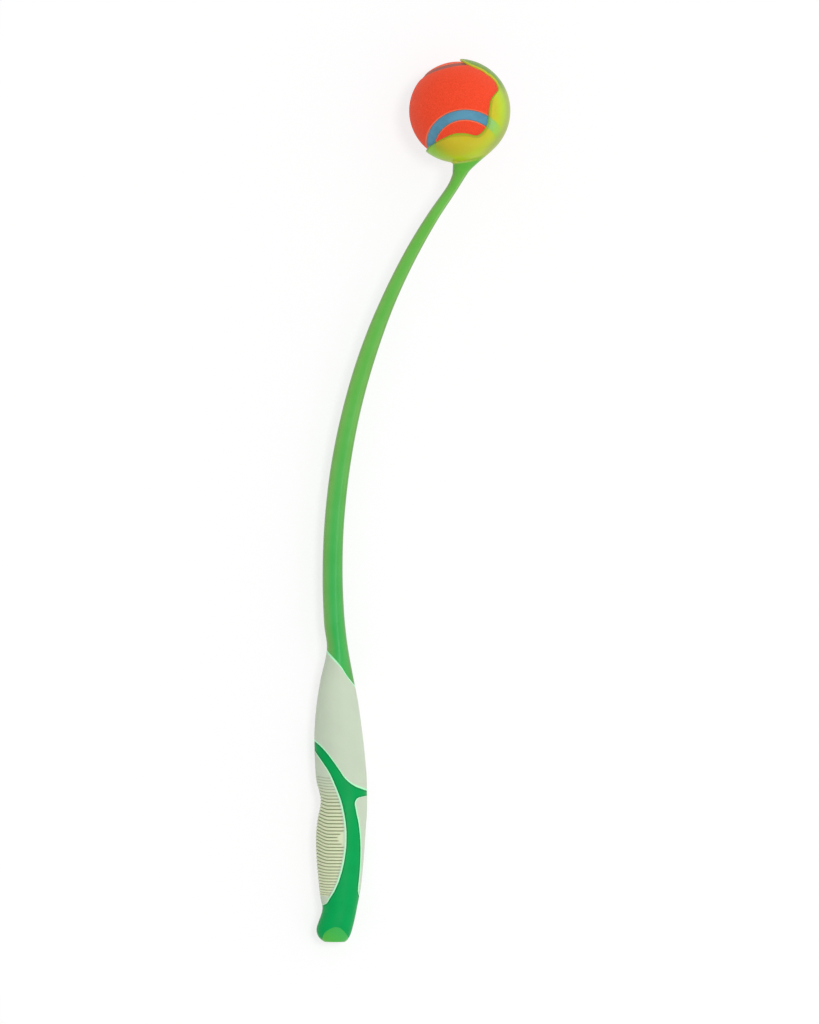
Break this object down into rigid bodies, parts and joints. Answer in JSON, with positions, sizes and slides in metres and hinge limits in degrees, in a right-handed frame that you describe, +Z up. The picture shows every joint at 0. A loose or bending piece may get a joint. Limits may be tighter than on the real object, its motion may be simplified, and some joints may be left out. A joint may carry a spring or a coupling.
{
  "type": "dog ball thrower",
  "caption": "Curved ball thrower: a bowed arm ending in a spring cup that holds a felt ball, and a handle with soft ribbed grips.",
  "frame": {"origin": "on the table under the middle of the box of the thrower as it lies on its side", "axes": "+Y along the thrower, from the butt towards the ball; +X from the bowed front of the arm towards its back; +Z up from the table"},
  "size_m": [0.1296, 0.5922, 0.0662],
  "materials": {
    "arm_plastic": "gloss",
    "handle_plastic": "satin",
    "grip_rubber": "matte",
    "ball_rubber": "matte",
    "ball_felt": "matte",
    "ball_seam": "matte"
  },
  "bodies": {
    "thrower": {"arm": "arm_plastic", "handle_shell": "handle_plastic", "upper_grip": "grip_rubber", "finger_grip": "grip_rubber", "palm_grip": "grip_rubber"},
    "ball": {"ball_shell_upper": "ball_rubber", "ball_shell_lower": "ball_rubber", "felt_panel_front": "ball_felt", "felt_panel_back": "ball_felt", "seam_band": "ball_seam"}
  },
  "joints": [
    {"name": "ball_release", "type": "slide", "parent": "thrower", "child": "ball", "axis": [-0.9371, 0.349, 0], "range_m": [0, 0.09], "deforming": ["felt_panel_front", "felt_panel_back", "seam_band"]}
  ]
}
